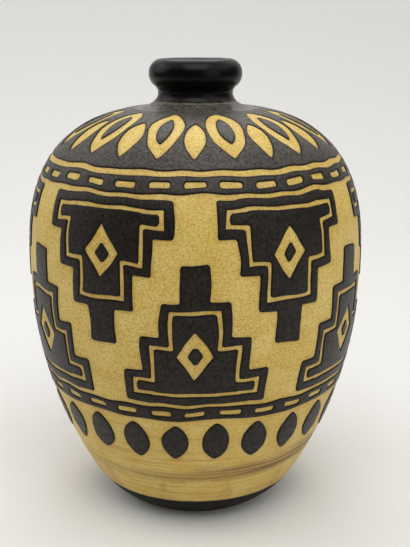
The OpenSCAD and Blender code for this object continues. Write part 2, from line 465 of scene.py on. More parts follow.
@dataclass(frozen=True)
class BlackGlaze:
    """Black glaze with a soft gloss down to the waist, grey painted sheen in patches below the waist,
    enamel on the flare below it lightened by painted sheen, and a pale painted highlight along the
    seam.
    """

    black: Colour = srgb(4, 4, 4)
    brown: Colour = srgb(26, 20, 15)
    dark: Colour = srgb(5, 4, 2)
    # Painted sheen: grey that lightens the enamel on the flare.
    thin_and_sheen: Colour = srgb(108, 103, 94)
    # Painted sheen: grey laid on the glaze below the waist.
    waist: Colour = srgb(44, 40, 36)
    # Painted highlight: a pale line along the seam at the flare.
    line: Colour = srgb(150, 138, 118)
    seam_z: float = 245.2 * MM
    seam_wave: float = 0.6 * MM
    seam_fade: float = 0.2 * MM
    waist_z: float = 251 * MM
    mottle_size: float = 3 * MM
    grain_size: float = 1.2 * MM
    depth: float = 0.12 * MM

    def material(self) -> bpy.types.Material:
        """Builds the finish.

        Returns:
            The material.
        """
        glaze = Shader("black_glaze")
        mottle = glaze.noise(self.mottle_size, 4.0, 0.6)
        grain = glaze.noise(self.grain_size, 3.0, 0.75)
        fleck = glaze.ramp(0.4 * mottle + 0.6 * grain, 0.38, 0.64)
        height = glaze.axis("Z")
        above = height + (glaze.noise(5 * MM) - 0.5) * self.seam_wave - self.seam_z
        below = glaze.ramp(above, self.seam_fade, -self.seam_fade)
        colour = glaze.mix(glaze.ramp(mottle, 0.52, 0.8) * 0.4, self.black, self.brown)
        # Painted sheen: the glaze greys in patches from the waist down to the seam.
        wear_and_sheen = glaze.ramp(height, self.waist_z, self.seam_z) * glaze.ramp(mottle, 0.36, 0.6)
        colour = glaze.mix(wear_and_sheen, colour, self.waist)
        # Painted sheen: grey flecks lighten the enamel on the flare below the seam.
        colour = glaze.mix(below, colour, glaze.mix(0.2 + 0.6 * fleck, self.dark, self.thin_and_sheen))
        # Painted highlight: a narrow pale line just above the seam.
        line = glaze.ramp(above, -self.seam_fade, 0.1 * MM) * glaze.ramp(above, 0.7 * MM, 0.4 * MM)
        colour = glaze.mix(line * (0.35 + 0.3 * fleck), colour, self.line)
        glaze.bump(0.5 * mottle + 0.5 * grain, self.depth, 0.6)
        return glaze.finish({"Base Color": colour, "Roughness": 0.23 + 0.1 * mottle,
                             "Specular IOR Level": 0.14, "Coat Weight": below * (0.2 + 0.6 * fleck),
                             "Coat Roughness": 0.44, "Coat IOR": 1.35})


@dataclass(frozen=True)
class FootWash:
    """Dark wash over turned clay, rubbed off the resting ring."""

    wash: Colour = srgb(17, 15, 12)
    # Paler patches of thinner wash, the foot's own colour; no sheen is painted on the foot.
    thin_and_sheen: Colour = srgb(44, 36, 27)
    clay: Colour = srgb(150, 126, 94)
    worn_z: float = 0.5 * MM
    worn_wave: float = 1.2 * MM
    mottle_size: float = 3.5 * MM
    grain_size: float = 0.6 * MM
    depth: float = 0.2 * MM

    def material(self) -> bpy.types.Material:
        """Builds the finish.

        Returns:
            The material.
        """
        foot = Shader("foot_wash")
        mottle = foot.noise(self.mottle_size, 4.0, 0.65)
        grain = foot.noise(self.grain_size, 3.0, 0.65)
        height = foot.axis("Z") + (mottle - 0.5) * self.worn_wave
        colour = foot.mix(foot.ramp(mottle, 0.5, 0.75) * 0.5, self.wash, self.thin_and_sheen)
        # Clay bared by wear on the resting ring, the foot's own colour.
        wear_and_sheen = foot.ramp(height, self.worn_z, self.worn_z * 0.2) * foot.ramp(grain, 0.35, 0.5)
        colour = foot.mix(wear_and_sheen, colour, self.clay)
        foot.bump(0.4 * mottle + 0.6 * grain, self.depth, 0.6)
        return foot.finish({"Base Color": colour, "Roughness": 0.55 + 0.2 * grain,
                            "Specular IOR Level": 0.15})


@dataclass(frozen=True)
class LinerGlaze:
    """Plain brownish liner glaze."""

    full: Colour = srgb(150, 126, 84)
    deep: Colour = srgb(116, 92, 56)
    cloud_size: float = 12 * MM
    grain_size: float = 0.9 * MM
    speck_gap: float = 5 * MM
    depth: float = 0.1 * MM

    def material(self) -> bpy.types.Material:
        """Builds the finish.

        Returns:
            The material.
        """
        liner = Shader("liner_glaze")
        cloud = liner.noise(self.cloud_size, 4.0, 0.6)
        grain = liner.noise(self.grain_size, 3.0, 0.6)
        colour = liner.mix(liner.ramp(cloud, 0.3, 0.7), self.full, self.deep)
        colour = liner.mix(liner.specks(self.speck_gap, 0.08, 0.5) * 0.7, colour, self.deep)
        liner.bump(grain, self.depth, 0.5)
        return liner.finish({"Base Color": colour, "Roughness": 0.34 + 0.16 * grain})


@dataclass(frozen=True)
class Stoneware:
    """Fired clay under the coats."""

    clay: Colour = srgb(185, 160, 124)
    dark: Colour = srgb(140, 112, 80)
    grog_size: float = 1.2 * MM
    depth: float = 0.2 * MM

    def material(self) -> bpy.types.Material:
        """Builds the finish.

        Returns:
            The material.
        """
        clay = Shader("stoneware")
        grog = clay.noise(self.grog_size, 4.0, 0.7)
        colour = clay.mix(clay.ramp(grog, 0.35, 0.7), self.clay, self.dark)
        clay.bump(grog, self.depth, 0.6)
        return clay.finish({"Base Color": colour, "Roughness": 0.75 + 0.15 * grog})


@dataclass(frozen=True)
class PaperSweep:
    """Pale paper of the floor and the backdrop, painted dark grey towards the camera as shade of the
    dim room in front.
    """

    paper: Colour = (0.74, 0.73, 0.71)
    shade: Colour = (0.71, 0.7, 0.68)
    glow: Colour = (0.02, 0.018, 0.008)
    far_glow: Colour = (0.18, 0.179, 0.174)
    far_y: Pair = (-0.1, 1.15)
    # Painted shade: dark grey paper towards the camera stands in for the dim room in front.
    near: Colour = (0.35, 0.345, 0.335)
    near_glow: Colour = (0.48, 0.475, 0.455)
    near_y: Pair = (-0.3, -0.65)
    fibre_size: float = 3 * MM

    def material(self) -> bpy.types.Material:
        """Builds the finish.

        Returns:
            The material.
        """
        paper = Shader("paper_sweep")
        fibre = paper.noise(self.fibre_size, 3.0, 0.6)
        depth = paper.axis("Y")
        # Painted shade: the paper darkens towards the camera; camera rays still see it pale through its
        # glow.
        near = paper.ramp(depth, *self.near_y)
        colour = paper.mix(near, paper.mix(fibre, self.paper, self.shade), self.near)
        camera, glossy, transmitted = (paper.node("ShaderNodeLightPath", output=f"Is {kind} Ray")
                                       for kind in ("Camera", "Glossy", "Transmission"))
        lit = paper.mix(paper.ramp(depth, *self.far_y), self.glow, self.far_glow)
        glow = paper.mix(glossy + transmitted, (0.0, 0.0, 0.0), lit)
        glow = paper.mix(camera, glow, paper.mix(near, lit, self.near_glow))
        return paper.finish({"Base Color": colour, "Roughness": 0.9, "Emission Color": glow,
                             "Emission Strength": 1.0})


# Modelling tools


def clear_selection() -> None:
    """Leaves nothing selected in object mode."""
    bpy.ops.object.select_all(action="DESELECT")


class Bench:
    """Edit mode on one object, with everything else left alone."""

    def __init__(self, obj: bpy.types.Object) -> None:
        """Keeps the object that is worked on."""
        self.obj = obj

    def __enter__(self) -> Bench:
        """Opens edit mode with everything selected.

        Returns:
            The open bench.
        """
        clear_selection()
        self.obj.select_set(True)
        bpy.context.view_layer.objects.active = self.obj
        bpy.ops.object.mode_set(mode="EDIT")
        bpy.ops.mesh.select_all(action="SELECT")
        return self

    def __exit__(self, *_: Any) -> None:
        """Closes edit mode."""
        bpy.ops.object.mode_set(mode="OBJECT")

    def mesh(self) -> bmesh.types.BMesh:
        """The mesh as it is now."""
        return bmesh.from_edit_mesh(self.obj.data)

    def update(self) -> None:
        """Takes over changes made to the mesh."""
        bmesh.update_edit_mesh(self.obj.data)

    def pick(self, mode: str, items: list[Any]) -> None:
        """Selects only these vertices, edges or faces.

        Args:
            mode: VERT, EDGE or FACE.
            items: What to select.
        """
        bpy.ops.mesh.select_mode(type=mode)
        bpy.ops.mesh.select_all(action="DESELECT")
        for item in items:
            item.select_set(True)
        self.mesh().select_flush_mode()
        self.update()

    def close(self) -> None:
        """Merges what coincides and turns the faces outwards."""
        bpy.ops.mesh.select_all(action="SELECT")
        bpy.ops.mesh.remove_doubles(threshold=MERGE)
        bpy.ops.mesh.select_all(action="SELECT")
        bpy.ops.mesh.normals_make_consistent(inside=False)


def points_of(mesh: bpy.types.Mesh) -> Array:
    """Vertices of a mesh.

    Args:
        mesh: Mesh to read.

    Returns:
        Rows of x, y and z.
    """
    flat = np.empty(len(mesh.vertices) * 3)
    mesh.vertices.foreach_get("co", flat)
    return flat.reshape(-1, 3)


def set_points(mesh: bpy.types.Mesh, points: Array) -> None:
    """Moves the vertices of a mesh to these rows."""
    mesh.vertices.foreach_set("co", np.ascontiguousarray(points, dtype=np.float32).ravel())
    mesh.update()


def store(mesh: bpy.types.Mesh, name: str, values: Array) -> None:
    """Keeps one number for each vertex of a mesh."""
    layer = mesh.attributes.new(name, "FLOAT", "POINT")
    layer.data.foreach_set("value", np.ascontiguousarray(values, dtype=np.float32))


def turned(name: str, outline: Points, steps: int) -> bpy.types.Object:
    """Turns a closed outline round the vase's axis.

    Args:
        name: Name of the piece.
        outline: Radius and height of each corner, in order.
        steps: Facets round the axis.

    Returns:
        The closed piece.
    """
    clear_selection()
    bpy.ops.mesh.primitive_plane_add(size=MM)
    piece = bpy.context.object
    piece.name = name
    piece.data.name = name
    with Bench(piece) as bench:
        bpy.ops.mesh.merge(type="CENTER")
        bpy.ops.transform.translate(value=(outline[0][0], 0.0, outline[0][1]))
        for (r0, z0), (r1, z1) in zip(outline, outline[1:]):
            move = {"value": (r1 - r0, 0.0, z1 - z0)}
            bpy.ops.mesh.extrude_vertices_move(TRANSFORM_OT_translate=move)
        ends = [vert for vert in bench.mesh().verts if len(vert.link_edges) == 1]
        bench.pick("VERT", ends)
        bpy.ops.mesh.edge_face_add()
        bpy.ops.mesh.select_all(action="SELECT")
        bpy.ops.mesh.spin(steps=steps, angle=TAU, center=(0, 0, 0), axis=(0, 0, 1))
        bench.close()
    bpy.ops.object.shade_smooth()
    return piece


def arc(centre: Pair, radius: float, start: float, end: float, count: int) -> Points:
    """Points along an arc.

    Args:
        centre: Radius and height of the centre.
        radius: Radius of the arc.
        start: First angle in degrees.
        end: Last angle in degrees.
        count: Number of points.

    Returns:
        The points, both ends included.
    """
    turns = np.radians(np.linspace(start, end, count))
    return [(centre[0] + radius * math.cos(a), centre[1] + radius * math.sin(a)) for a in turns]


def dressed(piece: bpy.types.Object, finish: bpy.types.Material, node: str) -> None:
    """Gives a piece its finish and its place on the vase.

    Args:
        piece: Finished piece.
        finish: Its material.
        node: The node that it stands for.
    """
    piece.data.materials.clear()
    piece.data.materials.append(finish)
    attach(piece, "root")
    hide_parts(node)
    LOG.info("%s: %d faces", piece.name, len(piece.data.polygons))


# Form of the vase


@dataclass(frozen=True)
class VaseForm:
    """Sizes that the turned outline follows."""

    height: float
    belly_r: float
    foot_h: float
    root_r: float
    belly_z: float = 149.5 * MM
    flank_arc: float = 258 * MM
    shoulder_n: float = 2.8
    lip_r: float = 27.5 * MM
    lip_roll: float = 8 * MM
    lip_side: float = 1 * MM
    waist_r: float = 22.1 * MM
    cove_r: float = 5.25 * MM
    flare_h: float = 8.7 * MM
    bore_r: float = 15 * MM
    mouth_round: float = 4 * MM
    heel_z: float = 24 * MM
    heel_arc: float = 61.5 * MM
    recess_r: float = 34 * MM
    recess_d: float = 2.5 * MM
    floor_t: float = 6.5 * MM
    wall_t: float = 5.5 * MM
    glaze_t: float = 0.5 * MM

    @classmethod
    def from_frame(cls) -> VaseForm:
        """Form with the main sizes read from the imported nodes.

        Returns:
            The form.
        """
        wall_low, wall_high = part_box("ground_glaze")
        collar_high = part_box("collar_glaze")[1]
        return cls(collar_high.z, wall_high.x, wall_low.z, collar_high.x)

    @property
    def lip_centre(self) -> Pair:
        """Centre of the lip's roll."""
        return self.lip_r - self.lip_roll, self.height - self.lip_roll

    @property
    def under_centre(self) -> Pair:
        """Centre of the roll below the lip's upright side."""
        return self.lip_centre[0], self.lip_centre[1] - self.lip_side

    @property
    def cove_centre(self) -> Pair:
        """Centre of the cove under the lip, level with the waist."""
        r, z = self.under_centre
        cove = self.waist_r + self.cove_r
        return cove, z - math.sqrt((self.lip_roll + self.cove_r) ** 2 - (cove - r) ** 2)

    @property
    def mouth_centre(self) -> Pair:
        """Centre of the mouth's rounded edge."""
        return self.bore_r + self.mouth_round, self.height - self.mouth_round

    @property
    def crown_h(self) -> float:
        """Height of the full shoulder curve above the belly."""
        rise = self.cove_centre[1] - self.flare_h - self.belly_z
        n = self.shoulder_n
        return rise / (1.0 - (self.root_r / self.belly_r) ** n) ** (1.0 / n)

    @property
    def heel_turn(self) -> float:
        """Slope angle of the wall where the heel starts, in radians."""
        return math.asin((self.belly_z - self.heel_z) / self.flank_arc)

    @property
    def heel_centre(self) -> Pair:
        """Centre of the heel's arc."""
        rest = self.flank_arc - self.heel_arc
        return (self.belly_r - self.flank_arc + rest * math.cos(self.heel_turn),
                self.belly_z - rest * math.sin(self.heel_turn))

    def heel(self, offset: float, low: float, high: Optional[float], count: int) -> Array:
        """Wall round the heel.

        Args:
            offset: Distance outside the glazed surface.
            low: Height of the first point.
            high: Height of the last point, or None for the start of the flank.
            count: Number of points.

        Returns:
            Rows of radius and height.
        """
        centre, reach = self.heel_centre, self.heel_arc + offset
        first = math.asin((centre[1] - low) / reach)
        last = self.heel_turn if high is None else math.asin((centre[1] - high) / reach)
        return np.array(arc(centre, reach, -math.degrees(first), -math.degrees(last), count))

    def flank(self, offset: float, count: int) -> Array:
        """Wall from the heel to the belly.

        Args:
            offset: Distance outside the glazed surface.
            count: Number of points.

        Returns:
            Rows of radius and height.
        """
        turns = np.linspace(-self.heel_turn, 0.0, count + 1)[1:]
        reach = self.flank_arc + offset
        return np.stack([self.belly_r - self.flank_arc + reach * np.cos(turns),
                         self.belly_z + reach * np.sin(turns)], axis=1)

    def crown(self, offset: float, inner_r: float, count: int) -> Array:
        """Wall from above the belly to a radius near the neck.

        Args:
            offset: Distance outside the glazed surface.
            inner_r: Radius of the last point.
            count: Number of points.

        Returns:
            Rows of radius and height.
        """
        power = 2.0 / self.shoulder_n
        last = math.acos((inner_r / (self.belly_r + offset)) ** (1.0 / power))
        turns = last * np.linspace(0.0, 1.0, count + 1)[1:] ** 1.4
        return np.stack([(self.belly_r + offset) * np.cos(turns) ** power,
                         self.belly_z + (self.crown_h + offset) * np.sin(turns) ** power], axis=1)


class Wall:
    """Glazed wall, unrolled into the angle round it and the length up it."""

    STEP: ClassVar[float] = 0.25 * MM
    SOUND_ENDS: ClassVar[float] = 12 * MM
    RING_PITCH: ClassVar[float] = 6.5 * MM
    RING_FADE: ClassVar[Pair] = (40 * MM, 60 * MM)
    SEED: ClassVar[int] = 11
    WAVES: ClassVar[int] = 14

    def __init__(self, form: VaseForm) -> None:
        """Measures the wall.

        Args:
            form: Sizes of the vase.
        """
        self.form = form
        curve = np.concatenate([form.heel(0.0, form.foot_h, None, 100), form.flank(0.0, 500),
                                form.crown(0.0, form.root_r, 2500)])
        run = np.concatenate([[0.0], np.cumsum(np.hypot(*np.diff(curve, axis=0).T))])
        self.length = float(run[-1])
        self.run = np.linspace(0.0, self.length, int(self.length / self.STEP) + 1)
        self.r = np.interp(self.run, run, curve[:, 0])
        self.z = np.interp(self.run, run, curve[:, 1])
        slope_r = np.gradient(self.r, self.run)
        slope_z = np.gradient(self.z, self.run)
        size = np.hypot(slope_r, slope_z)
        self.out_r = slope_z / size
        self.out_z = -slope_r / size
        rng = np.random.default_rng(self.SEED)
        self.waves = [(int(rng.integers(5, 30)), rng.uniform(-280, 280), rng.uniform(0, TAU),
                       rng.uniform(0, TAU)) for _ in range(self.WAVES)]

    def radius(self, run: Array) -> Array:
        """Radius at a length up the wall."""
        return np.interp(run, self.run, self.r)

    def level(self, run: Array) -> Array:
        """Height at a length up the wall."""
        return np.interp(run, self.run, self.z)

    def run_at_level(self, level: Any) -> Any:
        """Length up the wall at a height."""
        return np.interp(level, self.z, self.run)

    def run_at_radius(self, radius: float) -> float:
        """Length up the wall at a radius of the shoulder."""
        top = int(np.argmax(self.r))
        return float(np.interp(-radius, -self.r[top:], self.run[top:]))

    def out(self, run: Array) -> tuple[Array, Array]:
        """Radial and upright parts of the outward direction."""
        return np.interp(run, self.run, self.out_r), np.interp(run, self.run, self.out_z)

    def swell(self, theta: Array, run: Array) -> Array:
        """Small unevenness of the thrown wall.

        Args:
            theta: Angles round the wall.
            run: Lengths up the wall.

        Returns:
            Distance outside the true form.
        """
        ends = np.clip(np.minimum(run, self.length - run) / self.SOUND_ENDS, 0.0, 1.0)
        low = 1.0 - np.clip((run - self.RING_FADE[0]) / self.RING_FADE[1], 0.0, 1.0)
        rings = np.sin(TAU * run / self.RING_PITCH + theta) * (0.02 + 0.05 * low)
        round_error = 0.16 * np.sin(2 * theta + 0.7) + 0.1 * np.sin(3 * theta + 30 * run)
        return ends * (rings + round_error) * MM

    def wander(self, theta: Array, run: Array, size: float) -> tuple[Array, Array]:
        """Drift of a hand-drawn line.

        Args:
            theta: Angles round the wall.
            run: Lengths up the wall.
            size: Usual drift.

        Returns:
            Drift of the angle and of the length up the wall.
        """
        across = np.zeros_like(theta)
        along = np.zeros_like(theta)
        for turns, pitch, phase_a, phase_b in self.waves:
            across += np.sin(turns * theta + pitch * run + phase_a)
            along += np.sin(turns * theta - pitch * run + phase_b)
        unit = size / math.sqrt(len(self.waves) / 2.0)
        ends = np.clip((self.length - run) / self.SOUND_ENDS, 0.0, 1.0)
        return across * unit / self.radius(run), along * unit * ends

    def place(self, theta: Array, run: Array, lift: Array) -> Array:
        """Points on the wall.

        Args:
            theta: Angles round the wall.
            run: Lengths up the wall.
            lift: Distances outside the glaze.

        Returns:
            Rows of x, y and z.
        """
        out_r, out_z = self.out(run)
        lift = lift + self.swell(theta, run)
        r = self.radius(run) + out_r * lift
        z = self.level(run) + out_z * lift
        return np.stack([r * np.cos(theta), r * np.sin(theta), z], axis=1)


# Outlines of the enamel, as distances outside a shape that are negative within it

TIP_BLEND = 1.2 * MM


def box_gap(x: Array, y: Array, half_x: Array, half_y: float, corner: float) -> Array:
    """Distance outside a rectangle with round corners.

    Args:
        x: Places across.
        y: Places along.
        half_x: Half width.
        half_y: Half height.
        corner: Radius of the corners.

    Returns:
        The distances.
    """
    over_x = np.abs(x) - (half_x - corner)
    over_y = np.abs(y) - (half_y - corner)
    beyond = np.hypot(np.maximum(over_x, 0.0), np.maximum(over_y, 0.0))
    return beyond + np.minimum(np.maximum(over_x, over_y), 0.0) - corner


def leaf_gap(u: Array, v: Array, length: float, width: float) -> Array:
    """Distance outside a pointed leaf that lies along u.

    Args:
        u: Places along the leaf.
        v: Places across it.
        length: Length of the leaf.
        width: Width of the leaf.

    Returns:
        The distances.
    """
    radius = (length ** 2 + width ** 2) / (4.0 * width)
    reach = radius - width / 2.0
    return soft_max(np.hypot(u, v - reach), np.hypot(u, v + reach), TIP_BLEND) - radius


def lozenge_gap(x: Array, y: Array, half_x: float, half_y: float) -> Array:
    """Distance outside an upright lozenge.

    Args:
        x: Places across.
        y: Places along.
        half_x: Half width.
        half_y: Half height.

    Returns:
        The distances.
    """
    near_x = soft_max(x, -x, TIP_BLEND)
    near_y = soft_max(y, -y, TIP_BLEND)
    return (near_x * half_y + near_y * half_x - half_x * half_y) / math.hypot(half_x, half_y)


def soft_max(first: Array, second: Array, blend: float) -> Array:
    """Larger of two values, with a rounded change-over.

    Args:
        first: First values.
        second: Second values.
        blend: Difference over which they blend.

    Returns:
        The larger values.
    """
    share = np.maximum(blend - np.abs(first - second), 0.0) / blend
    return np.maximum(first, second) + share ** 2 * blend / 4.0


class Growth(Enum):
    """Way that a stepped form narrows."""

    DOWN = -1
    UP = 1


@dataclass
class EnamelBand(ABC):
    """Raised enamel that is cut flat to its outline once and laid round the wall in copies."""

    PROBE: ClassVar[float] = 0.04 * MM
    ROUNDS: ClassVar[int] = 6
    ROLL: ClassVar[tuple[float, ...]] = (0.62, 0.34, 0.14, 0.03, 0.0)

    wall: Wall
    finish: bpy.types.Material
    node: str
    cell: float = 1.2 * MM
    squash: float = 1.0
    rim: float = 0.7 * MM
    lift: float = 0.6 * MM
    sunk: float = 0.35 * MM
    drift: float = 0.4 * MM
    fade: float = 2.5 * MM
    margin: float = 2.5 * MM
    copies: int = 1
    turn: float = 0.0
    joined: bool = False

    def __post_init__(self) -> None:
        """Reads the band's heights from its node."""
        low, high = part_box(self.node)
        self.low_z = low.z
        self.high_z = high.z

    @property
    @abstractmethod
    def sides(self) -> Pair:
        """First and last angle of one copy."""

    @abstractmethod
    def depth(self, theta: Array, run: Array) -> Array:
        """Distance inside the outline of one copy.

        Args:
            theta: Angles from the copy's own start.
            run: Lengths up the wall.

        Returns:
            The distances, negative on bare glaze.
        """

    @property
    def ends(self) -> Pair:
        """Lowest and highest length up the wall, with a margin."""
        low, high = self.wall.run_at_level(np.array([self.low_z, self.high_z]))
        return low - self.margin, high + self.margin

    def depth_round(self, theta: Array, run: Array) -> Array:
        """Distance inside the outline anywhere on the wall.

        Args:
            theta: Angles round the wall.
            run: Lengths up the wall.

        Returns:
            The distances, negative on bare glaze.
        """
        first, last = self.sides
        pitch = TAU / self.copies
        middle = (first + last) / 2.0
        local = np.mod(theta - self.turn - middle + pitch / 2.0, pitch) - pitch / 2.0 + middle
        return self.depth(local, run)

    def thickness(self, run: Array) -> Array:
        """Share of the full lift at a length up the wall."""
        return np.ones_like(run)

    def _flat(self, verts: list[Any]) -> tuple[Array, Array]:
        """Angle and length up the wall of flat vertices."""
        places = np.array([vert.co[:2] for vert in verts]).reshape(-1, 2)
        return places[:, 0] / self.wall.form.belly_r, places[:, 1]

    def _on_side(self, theta: Array) -> Array:
        """Where a joined copy meets its neighbour.

        Args:
            theta: Angles from the copy's own start.

        Returns:
            True at each angle on a side.
        """
        first, last = self.sides
        near = np.minimum(np.abs(theta - first), np.abs(theta - last))
        return (near < 1e-6) & self.joined

    def _pull(self, verts: list[Any], level: float, lift: float) -> None:
        """Moves flat vertices onto a line inside the outline.

        Args:
            verts: Vertices to move.
            level: Distance of the line inside the outline.
            lift: Height that they get.
        """
        theta, run = self._flat(verts)
        fixed = self._on_side(theta)
        probe, span = self.PROBE, 2 * self.PROBE
        for _ in range(self.ROUNDS):
            r = self.wall.radius(run)
            turn = probe / r
            miss = self.depth(theta, run) - level
            slope_x = (self.depth(theta + turn, run) - self.depth(theta - turn, run)) / span
            slope_y = (self.depth(theta, run + probe) - self.depth(theta, run - probe)) / span
            step = miss / np.maximum(slope_x ** 2 + slope_y ** 2, 0.3)
            step = np.clip(step, -0.7 * self.cell, 0.7 * self.cell)
            theta = theta - np.where(fixed, 0.0, step * slope_x / r)
            run = run - step * slope_y
        for vert, angle, length in zip(verts, theta, run):
            vert.co = (angle * self.wall.form.belly_r, length, lift)

    def _rim_edges(self, bench: Bench) -> list[Any]:
        """Edges of the outline, without those where copies join.

        Args:
            bench: Open sheet.

        Returns:
            The edges.
        """
        edges = [edge for edge in bench.mesh().edges if edge.is_boundary]
        if not self.joined:
            return edges
        first = self._on_side(self._flat([edge.verts[0] for edge in edges])[0])
        second = self._on_side(self._flat([edge.verts[1] for edge in edges])[0])
        return [edge for edge, a, b in zip(edges, first, second) if not (a and b)]

    def _drop_outside(self, bench: Bench) -> None:
        """Deletes the faces that are outside the outline's inner line, and single teeth.

        Args:
            bench: Open sheet.
        """
        faces = list(bench.mesh().faces)
        middles = np.array([face.calc_center_median()[:2] for face in faces])
        inside = self.depth(middles[:, 0] / self.wall.form.belly_r, middles[:, 1]) > self.rim
        bench.pick("FACE", [face for face, keep in zip(faces, inside) if not keep])
        bpy.ops.mesh.delete(type="FACE")
        for _ in range(self.ROUNDS):
            rim = set(self._rim_edges(bench))
            teeth = [face for face in bench.mesh().faces
                     if sum(edge in rim for edge in face.edges) > 2]
            for vert in bench.mesh().verts:
                if sum(edge in rim for edge in vert.link_edges) > 2:
                    teeth.append(min(vert.link_faces, key=lambda face: face.calc_center_median().y))
            if not teeth:
                break
            bench.pick("FACE", teeth)
            bpy.ops.mesh.delete(type="FACE")

    def cut(self) -> bpy.types.Object:
        """Cuts one copy flat, with a rounded rim and a closed underside.

        Returns:
            The flat copy.
        """
        first, last = self.sides
        low, high = self.ends
        width = (last - first) * self.wall.form.belly_r
        clear_selection()
        columns = max(2, round(width / self.cell))
        rows = max(2, round((high - low) / (self.cell * self.squash)))
        bpy.ops.mesh.primitive_grid_add(x_subdivisions=columns, y_subdivisions=rows, size=1.0)
        sheet = bpy.context.object
        sheet.name = self.node + "_sheet"
        with Bench(sheet) as bench:
            bpy.ops.transform.resize(value=(width, high - low, 1.0))
            middle = (first * self.wall.form.belly_r + width / 2.0, (low + high) / 2.0, 0.0)
            bpy.ops.transform.translate(value=middle)
            self._drop_outside(bench)
            self._round_rim(bench)
            self._add_underside(bench)
        return sheet

    def _round_rim(self, bench: Bench) -> None:
        """Raises the sheet and rolls its edge down into the glaze.

        Args:
            bench: Open sheet.
        """
        rim = self._rim_edges(bench)
        self._pull(list({vert for edge in rim for vert in edge.verts}), self.rim, self.lift)
        bench.update()
        inner = [vert for vert in bench.mesh().verts if not vert.is_boundary]
        bench.pick("VERT", inner)
        bpy.ops.mesh.vertices_smooth(factor=0.5, repeat=5, zaxis=False)
        for vert in bench.mesh().verts:
            vert.co.z = self.lift
        for share in self.ROLL:
            lift = self.lift * math.sqrt(1.0 - (1.0 - share) ** 2)
            self._roll(bench, share * self.rim, lift)
        self._roll(bench, 0.0, -self.sunk)

    def _roll(self, bench: Bench, level: float, lift: float) -> None:
        """Extrudes the edge by one row.

        Args:
            bench: Open sheet.
            level: Distance of the new edge inside the outline.
            lift: Height of the new edge.
        """
        bench.pick("EDGE", self._rim_edges(bench))
        bpy.ops.mesh.extrude_edges_move(TRANSFORM_OT_translate={"value": (0.0, 0.0, 0.0)})
        self._pull([vert for vert in bench.mesh().verts if vert.select], level, lift)
        bench.update()

    def _add_underside(self, bench: Bench) -> None:
        """Closes the sheet with a flat face that lies inside the glaze.

        Args:
            bench: Open sheet.
        """
        bpy.ops.mesh.select_mode(type="VERT")
        bpy.ops.mesh.select_all(action="SELECT")
        bpy.ops.mesh.duplicate()
        bpy.ops.mesh.flip_normals()
        for vert in bench.mesh().verts:
            if vert.select:
                vert.co.z = -self.sunk
        bench.update()
        bpy.ops.mesh.select_all(action="SELECT")
        bpy.ops.mesh.remove_doubles(threshold=MERGE)

    def build(self) -> bpy.types.Object:
        """Lays the copies round the wall as one piece.

        Returns:
            The band.
        """
        sheet = self.cut()
        flat = points_of(sheet.data)
        theta, run = flat[:, 0] / self.wall.form.belly_r, flat[:, 1]
        store(sheet.data, "rim", np.clip(self.depth(theta, run) / self.fade, 0.0, 1.0))
        laid = []
        for index in range(self.copies):
            clear_selection()
            sheet.select_set(True)
            bpy.context.view_layer.objects.active = sheet
            bpy.ops.object.duplicate()
            copy = bpy.context.object
            angle = theta + self.turn + TAU * index / self.copies
            across, along = self.wall.wander(angle, run, self.drift)
            lift = flat[:, 2] * self.thickness(run)
            set_points(copy.data, self.wall.place(angle + across, run + along, lift))
            laid.append(copy)
        bpy.data.objects.remove(sheet)
        clear_selection()
        for copy in laid:
            copy.select_set(True)
        band = laid[0]
        bpy.context.view_layer.objects.active = band
        if len(laid) > 1:
            bpy.ops.object.join()
        band.name = self.node + "_enamel"
        band.data.name = band.name
        with Bench(band) as bench:
            bench.close()
        bpy.ops.object.shade_smooth()
        dressed(band, self.finish, self.node)
        return band


@dataclass
class ShoulderField(EnamelBand):
    """Enamel round the neck, with leaf windows that hold a rib, and buds between them."""

    windows: int = 12
    root_line: float = 0.1 * MM
    window_rim: float = 4.5 * MM
    window_w: float = 19 * MM
    vein_w: float = 5.2 * MM
    bud_len: float = 24 * MM
    bud_w: float = 11 * MM
    thinning: float = 0.6
    cell: float = 1.2 * MM
    squash: float = 0.7
    rim: float = 0.5 * MM

    def __post_init__(self) -> None:
        """Sets the copies and reads the field's edges."""
        super().__post_init__()
        self.copies = self.windows
        self.joined = True
        self.inner_r = self.wall.form.root_r + self.root_line
        self.low_run = float(self.wall.run_at_level(self.low_z))
        self.high_run = self.wall.run_at_radius(self.inner_r)
        self.outer_r = float(self.wall.radius(self.low_run))

    @property
    def sides(self) -> Pair:
        """From the middle of a bud to the middle of the next one."""
        return 0.0, TAU / self.windows

    @property
    def ends(self) -> Pair:
        """Outer and inner edge, with a margin."""
        return self.low_run - self.margin, min(self.high_run + self.margin, self.wall.length)

    def thickness(self, run: Array) -> Array:
        """Share of the full lift, which falls off towards the neck."""
        climb = np.clip((run - self.low_run) / (self.high_run - self.low_run), 0.0, 1.0)
        return 1.0 - self.thinning * climb ** 2

    def depth(self, theta: Array, run: Array) -> Array:
        """Distance inside the outline of one copy.

        Args:
            theta: Angles from the copy's own start.
            run: Lengths up the wall.

        Returns:
            The distances, negative on bare glaze.
        """
        r = self.wall.radius(run)
        edge = np.minimum(run - self.low_run, self.high_run - run)
        pitch = TAU / self.windows
        to_bud = theta - pitch * np.round(theta / pitch)
        to_leaf = theta - pitch * (np.floor(theta / pitch) + 0.5)
        length = self.outer_r - self.inner_r - 2.0 * self.window_rim
        middle = (self.outer_r + self.inner_r) / 2.0
        leaf = leaf_gap(r * np.cos(to_leaf) - middle, r * np.sin(to_leaf), length, self.window_w)
        bud_r = self.outer_r - self.window_rim - self.bud_len / 2.0
        bud = leaf_gap(r * np.cos(to_bud) - bud_r, r * np.sin(to_bud), self.bud_len, self.bud_w)
        field = np.minimum(edge, np.minimum(leaf, bud))
        return np.maximum(field, -leaf - self.vein_w)


